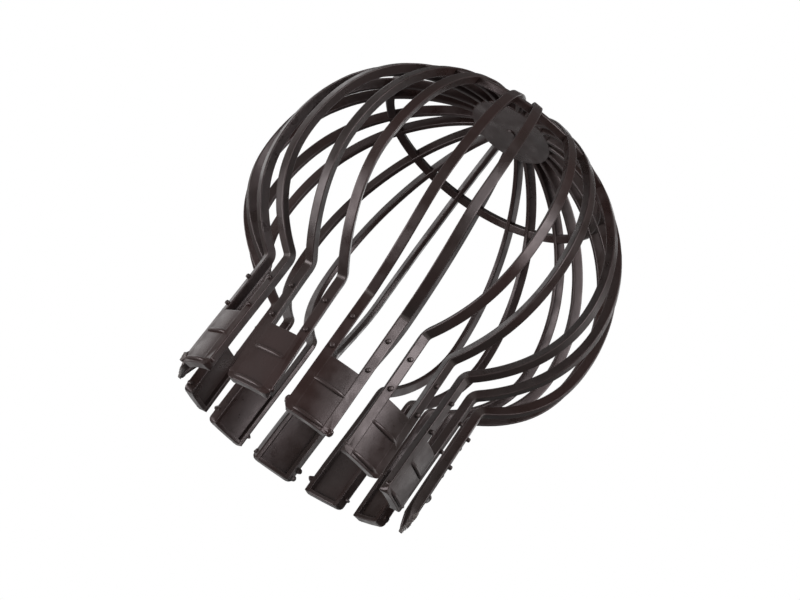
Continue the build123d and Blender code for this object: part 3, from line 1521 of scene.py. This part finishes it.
@dataclass
class Studio:
    """Floor, light and camera round the guard."""

    floor_size: float = 3.0
    floor_grey: float = 0.82
    floor_roughness: float = 0.9
    floor_fade: Ramp = Ramp(0.07, 0.24)
    ambient: float = 0.12
    lamp_distance: float = 0.9
    lamp_aim: float = 65.0 * MM
    viewpoint: Viewpoint = Viewpoint()
    softboxes: tuple[Softbox, ...] = (
        Softbox("right_softbox", 34.5, 21.0, 0.58, 0.62, 7.2),
        Softbox("far_right_softbox", 112.0, 16.0, 0.60, 0.55, 1.1),
        Softbox("left_softbox", -68.0, -34.0, 0.84, 0.70, 5.2),
        Softbox("left_fill_softbox", -58.0, 16.0, 0.45, 0.45, 0.6),
        Softbox("back_left_softbox", -128.0, 22.0, 0.50, 0.80, 1.2),
        Softbox("back_softbox", 165.0, 30.0, 0.60, 0.50, 1.0),
        Softbox("low_back_softbox", 180.0, -24.0, 0.70, 0.45, 0.6),
    )

    def floor(self) -> None:
        """Lay a pale floor that fades out round the guard.

        It is seen from above only, because the camera looks from below its level.
        """
        half = self.floor_size / 2
        corners = [(x * half, y * half, 0.0) for x, y in ((-1, -1), (1, -1), (1, 1), (-1, 1))]
        mesh = bpy.data.meshes.new("floor")
        mesh.from_pydata(corners, [], [(0, 1, 2, 3)])
        material, nodes = new_material("pale_floor")
        paint = {"Base Color": (*(self.floor_grey,) * 3, 1.0), "Roughness": self.floor_roughness}
        shader = nodes.feed(nodes.tree.nodes["Principled BSDF"], paint)
        clear = nodes.add("ShaderNodeBsdfTransparent")
        place = nodes.add("ShaderNodeNewGeometry")
        position = {0: place.outputs["Position"]}
        reach = nodes.add("ShaderNodeVectorMath", position, operation="LENGTH")
        fade = nodes.ramp(reach.outputs["Value"], self.floor_fade)
        hidden = nodes.math("MAXIMUM", fade, place.outputs["Backfacing"])
        shaders = {0: hidden, 1: shader.outputs[0], 2: clear.outputs[0]}
        mix = nodes.add("ShaderNodeMixShader", shaders)
        nodes.feed(nodes.tree.nodes["Material Output"], {"Surface": mix.outputs[0]})
        mesh.materials.append(material)
        floor = new_object("floor", mesh)
        floor.visible_diffuse = False
        floor.visible_glossy = False
        floor.visible_shadow = False

    def world(self) -> None:
        """Show white behind the guard, and light it softly from all round."""
        world = bpy.data.worlds.new("studio")
        bpy.context.scene.world = world
        world.use_nodes = True
        nodes = Nodes(world.node_tree)
        seen = nodes.add("ShaderNodeLightPath").outputs["Is Camera Ray"]
        levels = {"Value": seen, "To Min": self.ambient, "To Max": 1.0}
        strength = nodes.add("ShaderNodeMapRange", levels)
        white = {"Color": (1.0, 1.0, 1.0, 1.0), "Strength": strength.outputs[0]}
        nodes.feed(nodes.tree.nodes["Background"], white)

    def lamp(self, box: Softbox) -> None:
        """Hang a softbox round the guard.

        Args:
            box: the softbox. Its azimuth runs from -Y towards +X, and its brightness is what a
                mirror would show of it, with 1 as white.
        """
        light = bpy.data.lights.new(box.name, "AREA")
        light.shape = "RECTANGLE"
        light.size = box.width
        light.size_y = box.height
        light.energy = box.brightness * pi * box.width * box.height
        lamp = new_object(box.name, light)
        lamp.visible_camera = False
        turn = radians(box.azimuth)
        rise = radians(box.elevation)
        way = Vector((sin(turn) * cos(rise), -cos(turn) * cos(rise), sin(rise)))
        lamp.location = Vector((0.0, 0.0, self.lamp_aim)) + way * self.lamp_distance
        lamp.rotation_euler = way.to_track_quat("Z", "Y").to_euler()

    def build(self) -> None:
        """Set the whole studio up."""
        self.floor()
        self.world()
        for box in self.softboxes:
            self.lamp(box)
        self.viewpoint.build()
        bpy.context.scene.view_settings.view_transform = "Standard"


def main() -> None:
    """Build the guard and its studio."""
    logging.basicConfig(level=logging.INFO, format="%(name)s: %(message)s")
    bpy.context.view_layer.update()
    plastic = MouldedPlastic().build()
    moulding = Moulding(GuardSizes(), plastic).build()
    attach(moulding, BODY)
    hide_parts(NODE)
    Studio().build()


if __name__ == "__main__":
    main()
